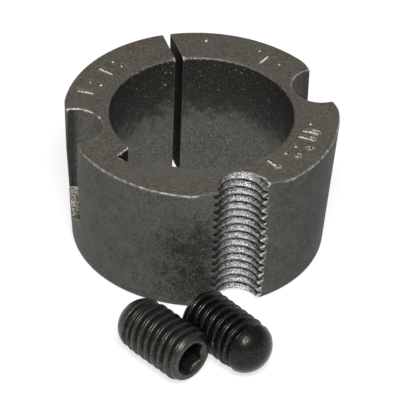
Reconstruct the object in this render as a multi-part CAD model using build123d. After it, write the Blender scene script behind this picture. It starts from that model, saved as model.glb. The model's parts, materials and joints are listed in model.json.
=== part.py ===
from build123d import *
import os
from math import cos, radians, sin, sqrt, tan

# Split taper bush for a 1 1/4 inch shaft, with its two set screws lying beside it.
# Millimetres, +Z up. The bush stands on its small end: the origin is the centre of
# the small-end face on the bore axis, and the threaded half-hole looks towards -Y.

# ---- bush body ----
bore_diameter = 31.75           # 1 1/4 inch shaft
bush_length = 25.4
taper_included_angle = 8.0      # degrees, the standard taper of such bushes
large_end_break = 0.2           # chamfer round the outer rim of the large end
small_end_break = 0.5           # chamfer round the outer rim of the small end
bore_break = 0.3                # chamfer at both ends of the bore

# ---- keyway and clamping slot ----
keyway_width = 6.35
keyway_depth = 3.175            # below the bore's own radius
keyway_spacing = 55.5           # degrees from the threaded hole to the keyway
keyway_edge_break = 0.5         # chamfer along the two edges where it meets the bore
slot_width = 1.3                # saw cut that lets the bush close on the shaft
slot_offset = 1.0               # the cut runs beside the plane of the bore axis

# ---- set screw, 3/8 inch Whitworth form, shared by the threaded half-hole ----
thread_diameter = 9.525
thread_pitch = 1.5875           # 16 threads per inch
thread_flank_angle = 55.0       # degrees between the flanks
thread_depth = 0.9              # crest to root, measured along the radius
thread_clearance = 0.05         # radial play of the screw in a threaded hole
screw_length = 15.875
socket_across_flats = 5.0
socket_depth = 5.0
socket_mouth_break = 0.3        # chamfer that leads the key into the socket
end_chamfer_width = 0.7         # from the thread's crests in to the end face
end_chamfer_length = 1.0
neck_step = 0.6                 # from the thread's crests in to the point's neck
point_length = 2.4              # point tip to the foot of the lead cone
point_dome_rise = 2.25          # height of the rounded tip
lead_step = 0.15                # from the neck out to the foot of the lead cone
lead_length = 1.55              # cone that leads the thread in
first_land = 1.04               # from the point to the first groove
run_out_margin = 0.06           # how far the run-out ring is deeper than the groove

# ---- half-holes in the outer surface ----
hole_wall = 1.5875              # iron left between the bore and the screw's hole
rim_beyond_circle = 1.525       # large-end rim outside the circle of the hole centres
threaded_hole_angle = 270.0     # degrees from +X
plain_hole_spacing = 95.0       # degrees from the threaded hole to each plain one
plain_hole_clearance = 0.1      # radial clearance round the set screw
plain_hole_depth = 16.8         # from the large end to the rim of the seat
plain_drill_angle = 118.0       # degrees, the drill's point that leaves the seat
plain_flat_depth = 1.15         # cast flat at a plain hole's mouth, in from the rim
threaded_flat_depth = 1.65      # cast flat at the threaded hole, in from the rim
flat_blend = 5.0                # cast rounding where a flat runs into the cone
mouth_rounding = 0.3            # cast rounding of a plain hole's long edges
first_groove_height = 0.17      # lowest thread groove, where the wall nears the bore

# ---- how the two screws lie on the surface beside the bush ----
first_screw_distance = 11.88    # large-end rim to the middle of the first screw
first_screw_angle = -28.0       # degrees round the bush axis from the threaded hole
first_screw_heading = 116.3     # degrees from +X, the way its point looks
first_screw_roll = 176.0        # degrees about its own axis
screw_nesting = 0.3             # how deep the crests of one lie in the other's grooves
nesting_lag = 0.28              # the crests lie this far from the grooves' middle
screw_shift = 7.85              # the second lies this much further from the bush
screw_fan = 1.9                 # degrees between the two axes

bore_radius = bore_diameter / 2
thread_radius = thread_diameter / 2
root_radius = thread_radius - thread_depth
screw_radius = thread_radius - thread_clearance
end_face_radius = screw_radius - end_chamfer_width
neck_radius = screw_radius - neck_step
hole_circle_radius = bore_radius + hole_wall + thread_radius
plain_hole_radius = thread_radius + plain_hole_clearance
large_end_radius = hole_circle_radius + rim_beyond_circle
small_end_radius = large_end_radius - bush_length * tan(radians(taper_included_angle / 2))
plain_hole_angles = [
    threaded_hole_angle - plain_hole_spacing,
    threaded_hole_angle + plain_hole_spacing,
]
half_flank = radians(thread_flank_angle / 2)
tap_arc = 240.0                 # degrees of each turn that reach the half-hole's wall
ridge_overlap = 0.1             # how far a thread ridge is sunk in its core

STANDING = (Align.CENTER, Align.CENTER, Align.MIN)
HANGING = (Align.CENTER, Align.CENTER, Align.MAX)


def polar(radius, angle, z=0.0):
    """A point at a radius and an angle in degrees round the bush axis."""
    return (radius * cos(radians(angle)), radius * sin(radians(angle)), z)


def thread_root_half():
    """Half the width of the narrow end of the thread form, ridge or groove alike."""
    return (thread_pitch / 2 - thread_depth * tan(half_flank)) / 2


def thread_mouth_half():
    """Half the width of the wide end of the thread form."""
    return thread_root_half() + thread_depth * tan(half_flank)


def thread_form(wide_radius, narrow_radius, height):
    """A helical body of the thread form, run a little past its wide end."""
    outward = 1 if narrow_radius > wide_radius else -1
    narrow = thread_root_half()
    wide = thread_mouth_half()
    outline = Polyline(
        (-outward * ridge_overlap, -wide),
        (0, -wide),
        (outward * thread_depth, -narrow),
        (outward * thread_depth, narrow),
        (0, wide),
        (-outward * ridge_overlap, wide),
        close=True,
    )
    path = Helix(thread_pitch, height, wide_radius)
    start = Plane(path @ 0, x_dir=(1, 0, 0), z_dir=path % 0)
    return sweep(start * make_face(outline), path, is_frenet=True)


def thread_ridge(height):
    """The cutter of an inside thread: a ridge that stands on the root radius."""
    return thread_form(root_radius, thread_radius, height)


def thread_groove(height):
    """The cutter of an outside thread: a ridge that points in to the screw's root."""
    return thread_form(screw_radius, screw_radius - thread_depth, height)


def countersink(radius, width, z):
    """A cone that opens upwards by width as it reaches the face at z."""
    return Pos(0, 0, z) * Cone(radius, radius + width, width, align=HANGING)


# ---- bush ----

def bush_blank():
    """The cast cone with its three flats blended in, then bored and its rims broken."""
    body = Cone(small_end_radius, large_end_radius, bush_length, align=STANDING)
    body = add_mouth_flat(body, threaded_hole_angle, threaded_flat_depth)
    for angle in plain_hole_angles:
        body = add_mouth_flat(body, angle, plain_flat_depth)
    body = chamfer(body.faces().sort_by(Axis.Z)[-1].edges(), large_end_break)
    body = chamfer(body.faces().sort_by(Axis.Z)[0].edges(), small_end_break)
    body -= Cylinder(bore_radius, bush_length, align=STANDING)
    body -= countersink(bore_radius, bore_break, bush_length)
    body -= Rot(180, 0, 0) * countersink(bore_radius, bore_break, 0)
    return body


def add_mouth_flat(body, angle, depth):
    """Leave a flat across a hole's mouth, square to its radius, blended to the cone."""
    distance = large_end_radius - depth
    block = Box(
        large_end_radius, 2 * large_end_radius, bush_length,
        align=(Align.MIN, Align.CENTER, Align.MIN),
    )
    body -= Rot(0, 0, angle) * Pos(distance, 0, 0) * block
    outward = Vector(*polar(1, angle))
    blend_edges = [
        edge for edge in body.edges()
        if edge.geom_type != GeomType.LINE
        and all(abs((edge @ share).dot(outward) - distance) < 0.001 for share in (0, 0.3, 1))
    ]
    return fillet(blend_edges, flat_blend)


def add_plain_hole(body, angle):
    """Drill a blind half-hole with a pointed seat and round its two long edges."""
    seat_height = plain_hole_radius / tan(radians(plain_drill_angle / 2))
    drill = Cylinder(plain_hole_radius, plain_hole_depth, align=HANGING)
    drill += Pos(0, 0, -plain_hole_depth) * Cone(0.1, plain_hole_radius, seat_height, align=HANGING)
    centre = polar(hole_circle_radius, angle)
    body -= Pos(*centre) * Pos(0, 0, bush_length) * drill

    def on_wall(edge, share):
        point = edge @ share
        reach = Vector(point.X - centre[0], point.Y - centre[1]).length
        return abs(reach - plain_hole_radius) < 0.01

    long_edges = [
        edge for edge in body.edges()
        if abs((edge @ 0).Z - (edge @ 1).Z) > mouth_rounding
        and all(on_wall(edge, share) for share in (0, 0.5, 1))
    ]
    return fillet(long_edges, mouth_rounding)


def add_threaded_hole(body, angle):
    """Tap the jacking half-hole right through."""
    centre = Pos(*polar(hole_circle_radius, angle)) * Rot(0, 0, angle + 180)
    arc = tap_arc / 360 * thread_pitch
    height = first_groove_height - thread_pitch
    while height < bush_length + thread_pitch:
        groove = Rot(0, 0, -tap_arc / 2) * thread_ridge(arc)
        body -= centre * Pos(0, 0, height - arc / 2) * groove
        height += thread_pitch
    return body - centre * Cylinder(root_radius, bush_length, align=STANDING)


def keyway():
    """The broached keyway, right through the bore."""
    half_width = keyway_width / 2
    corner = sqrt(bore_radius**2 - half_width**2)
    floor = bore_radius + keyway_depth
    outline = Polyline(
        (0, -half_width - keyway_edge_break),
        (corner, -half_width - keyway_edge_break),
        (corner + keyway_edge_break, -half_width),
        (floor, -half_width),
        (floor, half_width),
        (corner + keyway_edge_break, half_width),
        (corner, half_width + keyway_edge_break),
        (0, half_width + keyway_edge_break),
        close=True,
    )
    angle = threaded_hole_angle - keyway_spacing
    return Rot(0, 0, angle) * extrude(make_face(outline), amount=bush_length)


def slot():
    """The saw cut through one wall, opposite the threaded half-hole."""
    block = Box(
        slot_width, large_end_radius, bush_length,
        align=(Align.CENTER, Align.MIN, Align.MIN),
    )
    return Rot(0, 0, threaded_hole_angle - 270) * Pos(slot_offset, 0, 0) * block


def taper_bush():
    body = bush_blank()
    for angle in plain_hole_angles:
        body = add_plain_hole(body, angle)
    body -= keyway()
    body -= slot()
    return add_threaded_hole(body, threaded_hole_angle)


# ---- set screw ----

def screw_blank():
    """The turned blank on its point: dome, neck, lead cone, shank and end chamfer."""
    dome_radius = (neck_radius**2 + point_dome_rise**2) / (2 * point_dome_rise)
    with BuildPart() as blank:
        with BuildSketch(Plane.XZ):
            with BuildLine():
                dome = RadiusArc((0, 0), (neck_radius, point_dome_rise), -dome_radius)
                Polyline(
                    dome @ 1,
                    (neck_radius, point_length),
                    (neck_radius + lead_step, point_length + lead_step),
                    (screw_radius, point_length + lead_length),
                    (screw_radius, screw_length - end_chamfer_length),
                    (end_face_radius, screw_length),
                    (0, screw_length),
                    (0, 0),
                )
            make_face()
        revolve(axis=Axis.Z)
    return blank.part


def run_out_ring(z):
    """The turned ring that the thread groove starts from, a little over its size."""
    depth = thread_depth + run_out_margin
    root_half = thread_root_half() + run_out_margin
    mouth_half = root_half + (depth + ridge_overlap) * tan(half_flank)
    outer = screw_radius + ridge_overlap
    inner = screw_radius - depth
    outline = Polyline(
        (inner, z - root_half),
        (outer, z - mouth_half),
        (outer, z + mouth_half),
        (inner, z + root_half),
        close=True,
    )
    return revolve(Plane.XZ * make_face(outline), axis=Axis.Z)


def groove_start():
    """Height of the thread groove's start above the tip of the point."""
    return point_length + first_land + thread_mouth_half()


def set_screw():
    """A socket set screw standing on its rounded point, with its axis on Z."""
    screw = screw_blank() - run_out_ring(groove_start())
    height = groove_start()
    while height < screw_length + thread_pitch:
        screw -= Pos(0, 0, height) * thread_groove(thread_pitch)
        height += thread_pitch
    return screw - socket()


def socket():
    """The hexagon socket, with the drill's cone at its bottom."""
    across_corners = socket_across_flats / cos(radians(30))
    hexagon = RegularPolygon(across_corners / 2, 6)
    wall = extrude(hexagon, amount=-socket_depth)
    drill_radius = socket_across_flats / 2
    cone = Cone(0.1, drill_radius, drill_radius * tan(radians(30)), align=HANGING)
    mouth = countersink(drill_radius, across_corners / 2 - drill_radius + socket_mouth_break, 0)
    return Pos(0, 0, screw_length) * (wall + mouth + Pos(0, 0, -socket_depth) * cone)


def lay_down(screw, middle, heading, roll):
    """Turn a standing screw on its side and lay it on the surface at its place."""
    centred = Rot(0, 0, roll) * Pos(0, 0, -screw_length / 2) * screw
    lying = Rot(0, 0, heading) * Rot(0, -90, 0) * centred
    return Pos(middle.X, middle.Y, screw_radius) * lying


def lying_screws():
    """The two screws side by side, pointing opposite ways, by node name."""
    screw = set_screw()
    place_angle = threaded_hole_angle + first_screw_angle
    first = Vector(*polar(large_end_radius + first_screw_distance, place_angle))
    beside = Vector(*polar(2 * screw_radius - screw_nesting, first_screw_heading - 90))
    onward = Vector(*polar(screw_shift, first_screw_heading + 180))
    # the second is rolled until its crests look into the first one's grooves
    out_of_step = 2 * groove_start() - screw_length - screw_shift + nesting_lag
    second_roll = 360 * out_of_step / thread_pitch - first_screw_roll
    second_heading = first_screw_heading + 180 - screw_fan
    return {
        "set_screw_1": lay_down(screw, first, first_screw_heading, first_screw_roll),
        "set_screw_2": lay_down(screw, first + beside + onward, second_heading, second_roll),
    }


os.makedirs("parts", exist_ok=True)
export_step(taper_bush(), "parts/taper_bush.step")
for name, screw in lying_screws().items():
    export_step(screw, f"parts/{name}.step")
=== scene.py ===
import json
import math

import bmesh
import bpy
import numpy as np
from mathutils import Euler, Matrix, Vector, noise


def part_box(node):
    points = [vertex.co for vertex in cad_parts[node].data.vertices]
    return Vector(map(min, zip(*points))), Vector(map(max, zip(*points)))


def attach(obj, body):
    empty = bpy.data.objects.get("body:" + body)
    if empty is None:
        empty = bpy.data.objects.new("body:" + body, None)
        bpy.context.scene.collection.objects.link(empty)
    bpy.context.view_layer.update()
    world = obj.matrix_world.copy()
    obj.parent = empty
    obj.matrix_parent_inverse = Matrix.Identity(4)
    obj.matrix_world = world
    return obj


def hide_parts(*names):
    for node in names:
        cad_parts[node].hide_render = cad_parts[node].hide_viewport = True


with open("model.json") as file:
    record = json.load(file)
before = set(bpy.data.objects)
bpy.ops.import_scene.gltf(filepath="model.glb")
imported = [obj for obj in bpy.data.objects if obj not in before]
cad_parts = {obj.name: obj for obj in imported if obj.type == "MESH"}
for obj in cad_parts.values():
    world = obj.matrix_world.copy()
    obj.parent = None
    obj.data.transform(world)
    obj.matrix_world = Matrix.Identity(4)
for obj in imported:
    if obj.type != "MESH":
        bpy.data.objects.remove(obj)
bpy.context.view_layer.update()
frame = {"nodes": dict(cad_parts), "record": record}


# ---- Viewpoint ----
# A long lens stands well back and looks down over the threaded half-hole, so the
# bush and its two screws show their ends and their sides with little perspective.

MM = 0.001
CAMERA_PLACE_MM = (-151.272, -441.535, 372.034)
CAMERA_TURN_DEG = (51.893, -1.7413, -17.5847)

lens = bpy.data.cameras.new("long_lens")
lens.sensor_width = 36.0
lens.lens = 305.33
lens.clip_end = 5.0
camera = bpy.data.objects.new("camera", lens)
camera.location = Vector(CAMERA_PLACE_MM) * MM
camera.rotation_euler = Euler([math.radians(turn) for turn in CAMERA_TURN_DEG], "XYZ")
bpy.context.scene.collection.objects.link(camera)
bpy.context.scene.camera = camera


# ---- Split taper bush ----
# One iron casting, turned and ground to a taper, bored, tapped and drilled, then split by
# a saw cut and phosphated. The copy of its CAD mesh gets broken edges, rubbed places that
# also carry painted highlights, the grain of the coat and the strokes stamped into its large
# end.

mounts = {mount["name"]: mount for mount in frame["record"]["mounts"]}
bush_low, bush_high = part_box("taper_bush")
BUSH_LENGTH = bush_high.z
BORE_RADIUS = mounts["bore"]["dims"]["r_mm"] * MM
THREAD_RADIUS = mounts["threaded_half_hole"]["dims"]["r_mm"] * MM
PLAIN_RADIUS = mounts["left_plain_half_hole"]["dims"]["r_mm"] * MM
SEAT_HEIGHT = BUSH_LENGTH - mounts["left_plain_half_hole"]["dims"]["length_mm"] * MM
SEAT_DROP = 3.1 * MM
SLOT_CENTRE = 1.0 * MM
SLOT_WIDTH = 1.3 * MM
KEYWAY_ANGLE = math.radians(214.5)
# The keyway's half width and floor, each with its broken edges taken in.
KEYWAY_HALF = 3.75 * MM
KEYWAY_FLOOR = BORE_RADIUS + 3.3 * MM

MERGE = 0.002 * MM
BUSH_FACET = 0.13 * MM
BUSH_TRIANGLES = 180000


def finish_modifiers(piece):
    """Makes what the modifiers give the piece's own mesh."""
    graph = bpy.context.evaluated_depsgraph_get()
    mesh = bpy.data.meshes.new_from_object(piece.evaluated_get(graph))
    piece.modifiers.clear()
    piece.data = mesh


def machined_copy(node, name, facet):
    """A merged copy of a CAD node in small even facets, its edges just broken."""
    mesh = frame["nodes"][node].data.copy()
    mesh.materials.clear()
    shape = bmesh.new()
    shape.from_mesh(mesh)
    bmesh.ops.remove_doubles(shape, verts=shape.verts, dist=MERGE)
    shape.to_mesh(mesh)
    shape.free()
    piece = bpy.data.objects.new(name, mesh)
    bpy.context.scene.collection.objects.link(piece)
    remesh = piece.modifiers.new("even facets", "REMESH")
    remesh.mode = "VOXEL"
    remesh.voxel_size = facet
    broken = piece.modifiers.new("broken edges", "SMOOTH")
    broken.factor = 0.5
    broken.iterations = 2
    finish_modifiers(piece)
    return piece


def read_vectors(parts, what):
    """The places or normals of a mesh's points or facets, one row each."""
    values = np.empty(len(parts) * 3, np.float32)
    parts.foreach_get(what, values)
    return values.reshape(-1, 3).astype(float)


def move_points(piece, places):
    """Puts the points of a piece at these places."""
    piece.data.vertices.foreach_set("co", places.astype(np.float32).ravel())
    piece.data.update()


EDGE_ROUNDS = 14


def proudness(piece, edge_height):
    """How far each point stands out from a smoothed copy, in edge heights: sharp edges come
    to 1 or more and the roots of grooves lie below 0."""
    places = read_vectors(piece.data.vertices, "co")
    smoothing = piece.modifiers.new("smoothed", "SMOOTH")
    smoothing.factor = 0.5
    smoothing.iterations = EDGE_ROUNDS
    graph = bpy.context.evaluated_depsgraph_get()
    smoothed = read_vectors(piece.evaluated_get(graph).data.vertices, "co")
    piece.modifiers.clear()
    normals = read_vectors(piece.data.vertices, "normal")
    return ((places - smoothed) * normals).sum(axis=1) / edge_height


NICKED_FROM = 0.15
NICK_WIDTH = 0.4 * MM


def chip(piece, proud, depth):
    """Wears the proud edges back unevenly, as handling and rough cutting leave them."""
    places = read_vectors(piece.data.vertices, "co")
    normals = read_vectors(piece.data.vertices, "normal")
    for index in np.nonzero((proud > NICKED_FROM) & (depth > 0))[0]:
        spot = Vector(places[index]) / NICK_WIDTH
        bite = max(0.0, noise.noise(spot) + 0.5 * noise.noise(spot * 2.3))
        bite *= min(1.0, proud[index])
        places[index] -= normals[index] * bite * depth[index]
    move_points(piece, places)


BRIGHT_EDGE_FROM = 0.58
BRIGHT_EDGE_SPAN = 0.22
SPECK_WIDTH = 0.3 * MM
SPECK_PATCH = 1.6 * MM


def bright_edge_marks(piece, proud, share):
    """How bright each point of the proud edges is: bright nicks and specks of bare iron with
    coat between, scaled by a share that on the bush also paints highlights.
    """
    places = read_vectors(piece.data.vertices, "co")
    bare = np.zeros(len(places))
    ridge = np.clip((proud - BRIGHT_EDGE_FROM) / BRIGHT_EDGE_SPAN, 0.0, 1.0)
    for index in np.nonzero((ridge > 0.0) & (share > 0.01))[0]:
        spot = Vector(places[index])
        fine, broad = noise.noise(spot / SPECK_WIDTH), noise.noise(spot / SPECK_PATCH)
        specks = 0.80 + 1.1 * fine + 0.7 * broad
        bare[index] = ridge[index] * min(1.0, max(0.0, specks)) * share[index]
    return bare


def store(piece, name, values):
    """Keeps one number for each point of a piece, for its materials to read."""
    attribute = piece.data.attributes.new(name, "FLOAT", "POINT")
    attribute.data.foreach_set("value", values.astype(np.float32))


def store_edges_and_roots(piece, proud, share):
    """Keeps how bright the edges are, from wear and from painted highlights, and how deep the
    roots of the grooves lie, where the materials paint shade.
    """
    store(piece, "bare", bright_edge_marks(piece, proud, share))
    store(piece, "sunk", np.clip(-proud, 0.0, 1.0))


def roughen(piece, height, seed):
    """Lifts the points at random by the grain of the coat, which also keeps facets small."""
    places = read_vectors(piece.data.vertices, "co")
    normals = read_vectors(piece.data.vertices, "normal")
    lifts = np.random.default_rng(seed).uniform(-height, height, len(places))
    places += normals * lifts[:, None]
    move_points(piece, places)


def thin_out(piece, triangles, spared=None):
    """Leaves long facets on the plain surfaces and keeps the small ones on edges and threads.
    Spared points keep all of theirs."""
    count = sum(len(face.vertices) - 2 for face in piece.data.polygons)
    thinning = piece.modifiers.new("thinning", "DECIMATE")
    thinning.ratio = min(1.0, triangles / count)
    if spared is not None:
        plain = piece.vertex_groups.new(name="plain")
        plain.add(np.nonzero(~spared)[0].tolist(), 1.0, "REPLACE")
        thinning.vertex_group = plain.name
    finish_modifiers(piece)
    piece.data.polygons.foreach_set("use_smooth", [True] * len(piece.data.polygons))


# Plain bars and dots stamped round the large end: each is its middle and its length
# along the radius, in mm. A dot has next to no length.
STROKES = [
    (-17.6, 11.0, 2.6), (-15.9, 13.5, 0.1), (-14.4, 12.2, 0.1), (-12.5, 15.9, 2.6),
    (-10.5, 18.3, 0.1), (-9.3, 16.6, 0.1), (7.2, 20.0, 0.3), (15.4, 14.7, 0.1),
    (15.3, 12.0, 2.2), (17.4, 9.9, 0.1), (17.0, -8.0, 0.1), (16.3, -10.2, 2.4),
    (15.0, -11.6, 2.4), (14.6, -14.6, 0.1), (12.5, -13.3, 0.1), (12.0, -16.0, 0.1),
    (10.3, -14.7, 0.1), (7.3, -17.0, 2.4),
]
STROKE_WIDTH = 0.95 * MM
STROKE_DEPTH = 0.28 * MM
STROKE_STEEPNESS = 1.6


def stamp(piece):
    """Presses the strokes into the large end and returns how deep in a stroke each point
    is: 1 on its floor, less on its sloping walls and 0 outside."""
    places = read_vectors(piece.data.vertices, "co")
    on_face = places[:, 2] > BUSH_LENGTH - 0.1 * MM
    depth = np.zeros(len(places))
    for x, y, length in STROKES:
        middle = np.array((x, y)) * MM
        span = middle / np.linalg.norm(middle) * length / 2 * MM
        offset = places[:, :2] - middle
        share = np.clip(offset @ span / (span @ span), -1.0, 1.0)
        gap = np.linalg.norm(offset - share[:, None] * span, axis=1)
        wall = STROKE_STEEPNESS - STROKE_STEEPNESS * gap / (STROKE_WIDTH / 2)
        depth = np.maximum(depth, np.clip(wall, 0.0, 1.0) * on_face)
    places[:, 2] -= depth * STROKE_DEPTH
    move_points(piece, places)
    return depth


RIM_DEPTH = 0.5 * MM
OUTER_RIM = 19.5 * MM
INNER_RIM = BORE_RADIUS + 0.7 * MM
TEETH_RUN_OUT = 3.6 * MM
KEYWAY_BURRS = (-16.4 * MM, -7.4 * MM)
BURRS_REACH = 2.4 * MM


def edge_wear_and_glint(piece):
    """How bright each edge of the bush is, and how deep its burrs and nicks go. The edges are
    rubbed bare, and the front of the outer rim, the back of the bore's rim, the left
    half-hole's far lip and the thread's right teeth are brightest: there the brightness is
    also a painted highlight where they face the lamp, and the thread's left teeth are kept
    dark. The broach left the deepest burrs at the keyway's mouth."""
    x, y, z = read_vectors(piece.data.vertices, "co").T
    radius = np.hypot(x, y)
    rim = z > BUSH_LENGTH - RIM_DEPTH
    outer, inner = rim & (radius > OUTER_RIM), rim & (radius < INNER_RIM)
    bare = np.full(len(x), 0.08)
    nick = np.full(len(x), 0.04 * MM)
    bare[outer] = 0.12
    # Painted highlight: the outer rim's front and the bore rim's back face the lamp.
    bare[outer & (y < 4 * MM)] = 1.0
    bare[inner] = 0.15
    bare[inner & (y > 2 * MM)] = 0.75
    for name, share in (("left_plain_half_hole", 1.0), ("right_plain_half_hole", 0.5)):
        hole_x, hole_y, _ = mounts[name]["pos_m"]
        mouth = rim & (np.hypot(x - hole_x, y - hole_y) < PLAIN_RADIUS + 0.5 * MM)
        far_lip = mouth & (y > hole_y + 1.0 * MM)
        bare[mouth] = 0.25
        bare[far_lip] = share
        nick[far_lip] = 0.15 * MM
    hole_x, hole_y, _ = mounts["threaded_half_hole"]["pos_m"]
    tapped = np.hypot(x - hole_x, y - hole_y) < THREAD_RADIUS + 0.3 * MM
    bare[tapped] = 0.6
    # Painted highlight on the thread's right teeth; its left teeth are kept dark.
    bare[tapped & (x - hole_x < -TEETH_RUN_OUT)] = 0.05
    bare[tapped & (x - hole_x > TEETH_RUN_OUT)] = 1.0
    burrs = rim & (np.hypot(x - KEYWAY_BURRS[0], y - KEYWAY_BURRS[1]) < BURRS_REACH)
    bare[burrs] = 0.9
    nick[burrs] = 0.5 * MM
    return bare, nick


BUSH_EDGE = 0.045 * MM
COAT_GRAIN = 0.005 * MM

bush = machined_copy("taper_bush", "phosphated_bush", BUSH_FACET)
stamped = stamp(bush)
bush_proud = proudness(bush, BUSH_EDGE)
wear_and_glint_share, nick_depth = edge_wear_and_glint(bush)
chip(bush, bush_proud, nick_depth)
store_edges_and_roots(bush, bush_proud, wear_and_glint_share)
store(bush, "stamped", stamped)
roughen(bush, COAT_GRAIN, seed=1)
thin_out(bush, BUSH_TRIANGLES, spared=stamped > 0.0)


def linear(hex_colour):
    """An sRGB hex colour as the linear values that a shader takes."""
    channels = [int(hex_colour[place:place + 2], 16) / 255 for place in (1, 3, 5)]
    straight = [c / 12.92 if c <= 0.04045 else ((c + 0.055) / 1.055) ** 2.4 for c in channels]
    return (*straight, 1.0)


def new_material(name):
    """An empty node material."""
    material = bpy.data.materials.new(name)
    material.use_nodes = True
    material.node_tree.nodes.clear()
    return material


def add(material, kind, settings=None, links=None):
    """Adds a node, sets its values and joins its inputs to other nodes' outputs."""
    node = material.node_tree.nodes.new(kind)
    for key, value in (settings or {}).items():
        if isinstance(key, int) or key in node.inputs:
            node.inputs[key].default_value = value
        else:
            setattr(node, key, value)
    for key, output in (links or {}).items():
        material.node_tree.links.new(output, node.inputs[key])
    return node


def pattern(material, size_mm, detail=3.0, roughness=0.6, stretch=(1.0, 1.0, 1.0)):
    """Noise whose blotches measure about size_mm on the piece."""
    place = add(material, "ShaderNodeTexCoord").outputs["Object"]
    mapped = add(material, "ShaderNodeMapping", {"Scale": stretch}, {"Vector": place})
    settings = {"Scale": 1.0 / (size_mm * MM), "Detail": detail, "Roughness": roughness}
    blotches = add(material, "ShaderNodeTexNoise", settings, {"Vector": mapped.outputs[0]})
    return blotches.outputs["Fac"]


def layer(material, under, over, mask, low=0.0, high=1.0, most=1.0):
    """Lays one colour over another where a mask passes from low to high, up to the share
    called most. Each colour is a hex colour or a node's output."""
    settings = {"From Min": low, "From Max": high, "To Max": most}
    share = add(material, "ShaderNodeMapRange", settings, {"Value": mask})
    mix = add(material, "ShaderNodeMix", {"data_type": "RGBA"}, {0: share.outputs[0]})
    for socket, colour in ((mix.inputs[6], under), (mix.inputs[7], over)):
        if isinstance(colour, str):
            socket.default_value = linear(colour)
        else:
            material.node_tree.links.new(colour, socket)
    return mix.outputs[2]


# Bare iron, which also stands for painted highlights on edges and painted glints in specks.
BARE_IRON_GLINT = "#f2f0ea"


def show_wear_and_glint(material, colour):
    """Shows bare iron through a coat, by the numbers that the mesh keeps for its edges, which
    also paint a highlight on the edges that face the lamp.
    """
    rubbed = add(material, "ShaderNodeAttribute", {"attribute_name": "bare"})
    return layer(material, colour, BARE_IRON_GLINT, rubbed.outputs["Fac"])


def ragged(material, value, patterns):
    """Shifts a value by patterns, each by up to its reach either way, so that an edge drawn
    from the value comes out uneven."""
    for blotches, reach in patterns:
        settings = {"operation": "SUBTRACT", 1: 0.5}
        centred = add(material, "ShaderNodeMath", settings, {0: blotches})
        settings = {"operation": "MULTIPLY_ADD", 1: 2.0 * reach}
        links = {0: centred.outputs[0], 2: value}
        value = add(material, "ShaderNodeMath", settings, links).outputs[0]
    return value


def along(material, axis):
    """Where a point lies along one axis, in mm."""
    place = add(material, "ShaderNodeTexCoord").outputs["Object"]
    split = add(material, "ShaderNodeSeparateXYZ", None, {0: place})
    settings = {"operation": "MULTIPLY", 1: 1.0 / MM}
    return add(material, "ShaderNodeMath", settings, {0: split.outputs[axis]}).outputs[0]


def near(material, place_mm, reach_mm):
    """1 at a place on the piece, falling to 0 at this reach from it."""
    place = add(material, "ShaderNodeTexCoord").outputs["Object"]
    settings = {"operation": "DISTANCE", 1: Vector(place_mm) * MM}
    distance = add(material, "ShaderNodeVectorMath", settings, {0: place}).outputs["Value"]
    settings = {"From Min": reach_mm * MM, "From Max": 0.0}
    return add(material, "ShaderNodeMapRange", settings, {"Value": distance}).outputs[0]


def surface(material, colour, metallic, roughness, grain, depth_mm, shine=0.5):
    """Joins a colour to the material's shader. The grain stands up from the surface by its
    depth, and the roughness runs from its first value in the dips to its last on the tops."""
    settings = {"Metallic": metallic, "Specular IOR Level": shine}
    shader = add(material, "ShaderNodeBsdfPrincipled", settings)
    dips, tops = roughness
    settings = {"From Min": 0.3, "From Max": 0.7, "To Min": dips, "To Max": tops}
    sheen = add(material, "ShaderNodeMapRange", settings, {"Value": grain})
    bump = add(material, "ShaderNodeBump", {"Distance": depth_mm * MM}, {"Height": grain})
    links = material.node_tree.links
    links.new(colour, shader.inputs["Base Color"])
    links.new(sheen.outputs[0], shader.inputs["Roughness"])
    links.new(bump.outputs[0], shader.inputs["Normal"])
    add(material, "ShaderNodeOutputMaterial", None, {"Surface": shader.outputs[0]})


def phosphated_iron():
    """Manganese phosphate over a turned face: a matt brown-grey coat of fine crystals,
    rubbed to bare iron on its edges and in its stamped strokes, with painted shade on the
    strokes' walls and painted highlights on the edges that face the lamp."""
    material = new_material("phosphated_iron")
    # The crystals are some 0.02 mm across, too fine to show, so they are drawn at 0.35 mm.
    grain = pattern(material, 0.35, 4.0, 0.8)
    mottle = pattern(material, 2.6, 4.0, 0.65)
    patches = pattern(material, 7.0, 2.0, 0.5)
    colour = layer(material, "#403d36", "#787268", grain, 0.38, 0.64)
    colour = layer(material, colour, "#665440", mottle, 0.5, 0.68, 0.45)
    colour = layer(material, colour, "#5f6056", patches, 0.5, 0.62, 0.45)
    # A stroke's walls are painted dark as shade, and its floor is bright in flecks.
    pressed = add(material, "ShaderNodeAttribute", {"attribute_name": "stamped"}).outputs["Fac"]
    colour = layer(material, colour, "#211f1a", pressed, 0.02, 0.3, 0.7)
    pressed = ragged(material, pressed, ((pattern(material, 0.6, 3.0, 0.7), 0.7),))
    colour = layer(material, colour, "#ece6da", pressed, 0.7, 1.05)
    colour = show_wear_and_glint(material, colour)
    surface(material, colour, 0.4, (0.6, 0.45), grain, 0.06)
    return material


# Sooty oil stains on the taper: the middle of each and how far it reaches, in mm.
SOOT = (((-6.8, -21.2, 5.5), 11.0), ((-7.5, -21.2, 15.0), 8.5), ((16.8, -15.2, 10.3), 9.0))


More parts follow.
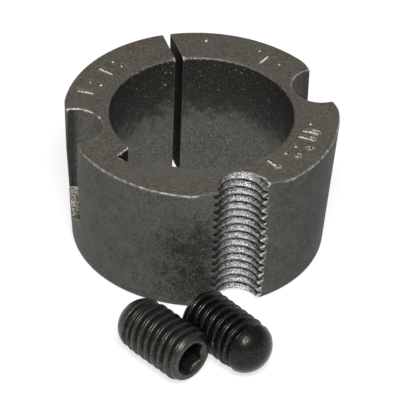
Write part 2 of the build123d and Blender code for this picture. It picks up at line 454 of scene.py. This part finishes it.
def ground_iron():
    """The ground taper: the coat lies thinner over it, so it is smoother and greyer, with a
    sooty oil stain beside the thread, painted shade towards both sides and specks painted as
    glints."""
    material = new_material("ground_iron")
    # The marks of the wheel are under 0.05 mm, too fine to show, and are drawn at 0.32 mm.
    grain = pattern(material, 0.32, 4.0, 0.8)
    mottle = pattern(material, 2.0, 5.0, 0.72)
    clouds = pattern(material, 9.0, 3.0, 0.6)
    colour = layer(material, "#4b4c48", "#777872", grain, 0.36, 0.66)
    colour = layer(material, colour, "#42413b", mottle, 0.42, 0.68, 0.5)
    colour = layer(material, colour, "#3a3a34", clouds, 0.4, 0.65, 0.22)
    for place_mm, reach_mm in SOOT:
        soot = near(material, place_mm, reach_mm)
        soot = ragged(material, soot, ((mottle, 0.8), (grain, -1.6)))
        colour = layer(material, colour, "#161713", soot, 0.25, 0.95, 0.72)
    # Painted shade: darker towards the right side, and a little towards the left.
    side_shade = ragged(material, along(material, 0), ((mottle, 3.0),))
    colour = layer(material, colour, "#211f1c", side_shade, 4.0, 20.0, 0.85)
    colour = layer(material, colour, "#2a2825", side_shade, -14.0, -22.0, 0.2)
    # Bare iron specks, painted bright as glints.
    specks = pattern(material, 0.3, 2.0, 0.5)
    colour = layer(material, colour, BARE_IRON_GLINT, specks, 0.76, 0.80, 0.6)
    colour = show_wear_and_glint(material, colour)
    surface(material, colour, 0.25, (0.5, 0.55), grain, 0.06, 0.1)
    return material


def bored_iron():
    """The bore: a mottled thin grey coat, painted near black towards the large end as a
    reflection of the dark near wall and lighter below as a reflection of the white floor,
    with a brighter painted highlight just under the change. Bare specks catch the light up top."""
    material = new_material("bored_iron")
    # The tool's marks and the coat's crystals, under 0.1 mm, are drawn at 0.35 mm to show.
    grain = pattern(material, 0.35, 5.0, 0.8)
    mottle = pattern(material, 1.6, 5.0, 0.75)
    clouds = pattern(material, 6.0, 4.0, 0.65)
    # Painted reflection: near black towards the large end and lighter below, by height.
    height = along(material, 2)
    height = ragged(material, height, ((clouds, 5.0), (mottle, 8.0), (grain, 14.0)))
    light = layer(material, "#3e3f39", "#787973", grain, 0.38, 0.64)
    light = layer(material, light, "#3c3d37", mottle, 0.4, 0.62, 0.45)
    # Brighter painted highlight just under the change.
    light = layer(material, light, "#a4a59f", height, 7.0, 12.0, 0.24)
    dark = layer(material, "#191a16", "#4c4d46", grain, 0.4, 0.68)
    specks = pattern(material, 0.34, 2.0, 0.5)
    dark = layer(material, dark, BARE_IRON_GLINT, specks, 0.69, 0.75, 0.9)
    colour = layer(material, light, dark, height, 10.5, 16.0)
    colour = show_wear_and_glint(material, colour)
    surface(material, colour, 0.6, (0.55, 0.45), grain, 0.06)
    return material


def tapped_iron():
    """The tapped thread: bare cut iron, torn by the tap into bright specks, with painted shade
    in the roots and a painted highlight across the middle of each flank."""
    material = new_material("tapped_iron")
    # The torn specks measure 0.05 to 0.2 mm and are drawn at 0.22 mm, so that all show.
    grain = pattern(material, 0.22, 4.0, 0.8)
    coarse = pattern(material, 0.8, 3.0, 0.7)
    # Painted highlight across the middle of the thread, fading to either side.
    across = ragged(material, along(material, 0), ((coarse, 2.5),))
    settings = {"operation": "SUBTRACT", 1: 1.2}
    aside = add(material, "ShaderNodeMath", settings, {0: across}).outputs[0]
    aside = add(material, "ShaderNodeMath", {"operation": "ABSOLUTE"}, {0: aside}).outputs[0]
    unhighlit_iron = layer(material, "#262624", "#929290", grain, 0.44, 0.68)
    highlit_iron = layer(material, "#30302e", "#ffffff", grain, 0.43, 0.60)
    colour = layer(material, unhighlit_iron, highlit_iron, aside, 3.6, 0.8)
    colour = show_wear_and_glint(material, colour)
    # Painted shade in the roots of the thread.
    sunk = add(material, "ShaderNodeAttribute", {"attribute_name": "sunk"}).outputs["Fac"]
    colour = layer(material, colour, "#0c0c0b", sunk, 0.3, 0.75)
    surface(material, colour, 0.9, (0.48, 0.28), grain, 0.12)
    return material


def drilled_iron():
    """The plain half-holes: a coarse drilled wall, dark with coat and a little rusty, with
    painted shade over the right hole and down the left hole's outer lip."""
    material = new_material("drilled_iron")
    # The drill's tearing, about 0.1 mm, is drawn at 0.35 mm so that it shows.
    grain = pattern(material, 0.35, 5.0, 0.8)
    mottle = pattern(material, 2.4, 4.0, 0.65)
    colour = layer(material, "#3b3b37", "#74736e", grain, 0.38, 0.66)
    colour = layer(material, colour, "#54403a", mottle, 0.5, 0.66, 0.55)
    # Painted shade over the right hole.
    colour = layer(material, colour, "#26231f", along(material, 0), -5.0, 5.0, 0.7)
    # Painted shade down the left hole's outer lip.
    outer_lip_shade = ragged(material, along(material, 0), ((grain, 0.8),))
    colour = layer(material, colour, "#131310", outer_lip_shade, -20.0, -20.8, 0.6)
    specks = pattern(material, 0.34, 2.0, 0.5)
    colour = layer(material, colour, "#b5b2ab", specks, 0.70, 0.78, 0.6)
    colour = show_wear_and_glint(material, colour)
    surface(material, colour, 0.5, (0.6, 0.5), grain, 0.06)
    return material


def rubbed_iron():
    """The drilled seats that the screw points bear on: rubbed to bare pale iron, scored and
    faintly brown."""
    material = new_material("rubbed_iron")
    # The scores are about 0.1 mm wide and are drawn at 0.36 mm so that they show.
    grain = pattern(material, 0.36, 4.0, 0.8, (1.0, 1.8, 1.0))
    colour = layer(material, "#29251e", "#d2cbbf", grain, 0.43, 0.60)
    surface(material, colour, 0.85, (0.42, 0.34), grain, 0.10)
    return material


def sawn_iron():
    """The saw cut and the broached keyway: raw walls painted near black as the shade in the
    narrow cuts, and a little greyer out where the cut opens at the taper and light gets in."""
    material = new_material("sawn_iron")
    # The scratches of the teeth, about 0.1 mm, are drawn at 0.3 mm so that they show.
    grain = pattern(material, 0.3, 4.0, 0.7, (1.0, 1.0, 3.0))
    # Painted shade: near black walls.
    colour = layer(material, "#0c0c0a", "#242320", grain, 0.35, 0.68)
    # Painted light where the cut opens at the taper.
    colour = layer(material, colour, "#4d4b44", along(material, 1), 18.0, 21.0, 0.6)
    colour = show_wear_and_glint(material, colour)
    surface(material, colour, 0.0, (0.85, 0.75), grain, 0.05, 0.1)
    return material


# Each kind of cut, numbered in the order of its finish.
FACED, GROUND, BORED, TAPPED, DRILLED, SEATED, SAWN = range(7)
FINISHES = (phosphated_iron, ground_iron, bored_iron, tapped_iron,
            drilled_iron, rubbed_iron, sawn_iron)
SKIN = 0.06 * MM
STEEP = 0.7


def finish_zones(piece):
    """Gives each facet the finish of the cut that made it, by where it lies and faces."""
    facets = piece.data.polygons
    x, y, z = read_vectors(facets, "center").T
    across, inwards, upright = read_vectors(facets, "normal").T
    radius = np.hypot(x, y)
    wall = np.abs(upright) < STEEP
    zone = np.full(len(facets), GROUND)
    zone[(z > BUSH_LENGTH - 0.3 * MM) & (upright > 0.5)] = FACED
    zone[(z < SKIN) & (upright < -STEEP)] = FACED
    zone[(radius < BORE_RADIUS + SKIN) & wall] = BORED
    outwards = x * math.cos(KEYWAY_ANGLE) + y * math.sin(KEYWAY_ANGLE)
    aside = np.abs(x * math.sin(KEYWAY_ANGLE) - y * math.cos(KEYWAY_ANGLE))
    broached = (outwards > BORE_RADIUS - 0.4 * MM) & (outwards < KEYWAY_FLOOR)
    zone[broached & (aside < KEYWAY_HALF) & wall] = SAWN
    zone[(np.abs(x - SLOT_CENTRE) < SLOT_WIDTH / 2 + SKIN) & (y > 0) & wall] = SAWN
    for name in ("left_plain_half_hole", "right_plain_half_hole"):
        hole_x, hole_y, _ = mounts[name]["pos_m"]
        inside = np.hypot(x - hole_x, y - hole_y) < PLAIN_RADIUS + SKIN
        inside &= ((hole_x - x) * across + (hole_y - y) * inwards) > 0
        zone[inside & (z > SEAT_HEIGHT - SKIN) & wall] = DRILLED
        seat = (z > SEAT_HEIGHT - SEAT_DROP) & (z < SEAT_HEIGHT + SKIN) & (upright > 0.3)
        zone[inside & seat] = SEATED
    hole_x, hole_y, _ = mounts["threaded_half_hole"]["pos_m"]
    away = np.maximum(np.hypot(x - hole_x, y - hole_y), MM)
    facing = ((hole_x - x) * across + (hole_y - y) * inwards) / away
    zone[(away < THREAD_RADIUS + 0.03 * MM) & (facing > 0.3) & (z > SKIN)] = TAPPED
    for finish in FINISHES:
        piece.data.materials.append(finish())
    facets.foreach_set("material_index", zone.astype(np.int32))


finish_zones(bush)
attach(bush, "root")
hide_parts("taper_bush")


# ---- Set screws ----
# Two alloy steel set screws with rolled threads, a hexagon socket in one end and a
# domed point on the other, blackened in hot oxide and oiled. They lie side by side.

SCREW_FACET = 0.09 * MM
SCREW_TRIANGLES = 80000
SCREW_EDGE = 0.035 * MM


def black_oxide_steel(name, dips, tops, roughness):
    """Black oxide over rolled steel: near black and oily, so that it catches the light on
    its crests, with a little rust and dust on them."""
    material = new_material(name)
    # The oxide has no grain of its own that shows. This is its film of oil and fine dust,
    # drawn at 0.28 mm.
    grain = pattern(material, 0.28, 4.0, 0.75)
    mottle = pattern(material, 1.6, 4.0, 0.65)
    colour = layer(material, dips, tops, grain, 0.38, 0.66)
    colour = layer(material, colour, "#3a2c20", mottle, 0.54, 0.72, 0.4)
    rubbed = add(material, "ShaderNodeAttribute", {"attribute_name": "bare"}).outputs["Fac"]
    colour = layer(material, colour, "#a09f9a", rubbed, 0.0, 1.0, 0.36)
    # Painted shade in the roots of the thread.
    sunk = add(material, "ShaderNodeAttribute", {"attribute_name": "sunk"}).outputs["Fac"]
    colour = layer(material, colour, "#0b0b0b", sunk, 0.2, 0.9, 0.42)
    dust = pattern(material, 0.34, 2.0, 0.5)
    colour = layer(material, colour, "#c4c4c0", dust, 0.71, 0.77, 0.8)
    surface(material, colour, 0.85, roughness, grain, 0.02)
    return material


screw_finishes = (
    black_oxide_steel("dusty_black_oxide_steel", "#2b2b29", "#585753", (0.42, 0.30)),
    black_oxide_steel("oily_black_oxide_steel", "#1b1b1a", "#363533", (0.33, 0.23)),
)
for number, screw_finish in enumerate(screw_finishes, 1):
    screw = machined_copy(f"set_screw_{number}", f"blackened_screw_{number}", SCREW_FACET)
    screw_proud = proudness(screw, SCREW_EDGE)
    store_edges_and_roots(screw, screw_proud, np.ones(len(screw_proud)))
    thin_out(screw, SCREW_TRIANGLES)
    screw.data.materials.append(screw_finish)
    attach(screw, "root")
    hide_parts(f"set_screw_{number}")


# ---- Floor and light ----
# A plain white table whose far rim curves up into a low backdrop. The room lights
# everything evenly, and one large soft lamp stands above the camera.

FLOOR_RADIUS = 1.5
FLOOR_SEGMENTS = 96
FLOOR_GAP = 0.02 * MM
# The backdrop's curve: how far out each ring of it lies and how high, in metres.
BACKDROP = ((1.65, 0.03), (1.78, 0.12), (1.86, 0.26), (1.9, 0.45))
TABLE_GLOW = 0.74
ROOM_LEVEL = 0.3
LAMP_PLACE_MM = (-92, -342, 510)
LAMP_SIZE = 180 * MM
LAMP_WATTS = 3.3

floor_shape = bmesh.new()
bmesh.ops.create_circle(floor_shape, cap_ends=True, segments=FLOOR_SEGMENTS, radius=FLOOR_RADIUS)
floor_drop = (0.0, 0.0, bush_low.z - FLOOR_GAP)
bmesh.ops.translate(floor_shape, verts=floor_shape.verts, vec=floor_drop)
ring = [edge for edge in floor_shape.edges if edge.is_boundary]
reach, rise = FLOOR_RADIUS, 0.0
for next_reach, next_rise in BACKDROP:
    grown = bmesh.ops.extrude_edge_only(floor_shape, edges=ring)["geom"]
    ring = [part for part in grown if isinstance(part, bmesh.types.BMEdge)]
    points = [part for part in grown if isinstance(part, bmesh.types.BMVert)]
    spread = next_reach / reach
    bmesh.ops.scale(floor_shape, verts=points, vec=(spread, spread, 1.0))
    bmesh.ops.translate(floor_shape, verts=points, vec=(0.0, 0.0, next_rise - rise))
    reach, rise = next_reach, next_rise
floor_mesh = bpy.data.meshes.new("floor")
floor_shape.to_mesh(floor_mesh)
floor_shape.free()
floor_mesh.polygons.foreach_set("use_smooth", [True] * len(floor_mesh.polygons))
floor = bpy.data.objects.new("floor", floor_mesh)
bpy.context.scene.collection.objects.link(floor)


def seen_directly(material):
    """1 for rays from the camera, off metal and through glass, and 0 for the rest."""
    paths = add(material, "ShaderNodeLightPath").outputs
    direct = paths["Is Camera Ray"]
    for name in ("Is Glossy Ray", "Is Transmission Ray"):
        links = {0: direct, 1: paths[name]}
        direct = add(material, "ShaderNodeMath", {"operation": "MAXIMUM"}, links).outputs[0]
    return direct


# Matt white board: it takes the shadows, and glows for the eye alone so that it looks white
# and throws no more light on the bush.
white_table = new_material("white_table")
board = add(white_table, "ShaderNodeBsdfDiffuse", {"Color": linear("#a0a0a0")})
glow = add(white_table, "ShaderNodeEmission", {"Color": linear("#ffffff")})
bright = add(white_table, "ShaderNodeMath", {"operation": "MULTIPLY", 1: TABLE_GLOW},
             {0: seen_directly(white_table)})
white_table.node_tree.links.new(bright.outputs[0], glow.inputs["Strength"])
both = add(white_table, "ShaderNodeAddShader", None, {0: board.outputs[0], 1: glow.outputs[0]})
add(white_table, "ShaderNodeOutputMaterial", None, {"Surface": both.outputs[0]})
floor.data.materials.append(white_table)

room = bpy.data.worlds.new("room")
room.use_nodes = True
room.node_tree.nodes.clear()
evenly = add(room, "ShaderNodeBackground", {"Color": linear("#ffffff"), "Strength": ROOM_LEVEL})
add(room, "ShaderNodeOutputWorld", None, {"Surface": evenly.outputs[0]})
bpy.context.scene.world = room

# The square lamp faces the middle of the bush.
lamp_light = bpy.data.lights.new("front", "AREA")
lamp_light.size = LAMP_SIZE
lamp_light.energy = LAMP_WATTS
lamp = bpy.data.objects.new("front", lamp_light)
lamp.location = Vector(LAMP_PLACE_MM) * MM
lamp_aim = Vector((0.0, 0.0, BUSH_LENGTH / 2)) - lamp.location
lamp.rotation_euler = lamp_aim.to_track_quat("-Z", "Y").to_euler()
bpy.context.scene.collection.objects.link(lamp)

bpy.context.scene.view_settings.view_transform = "Standard"
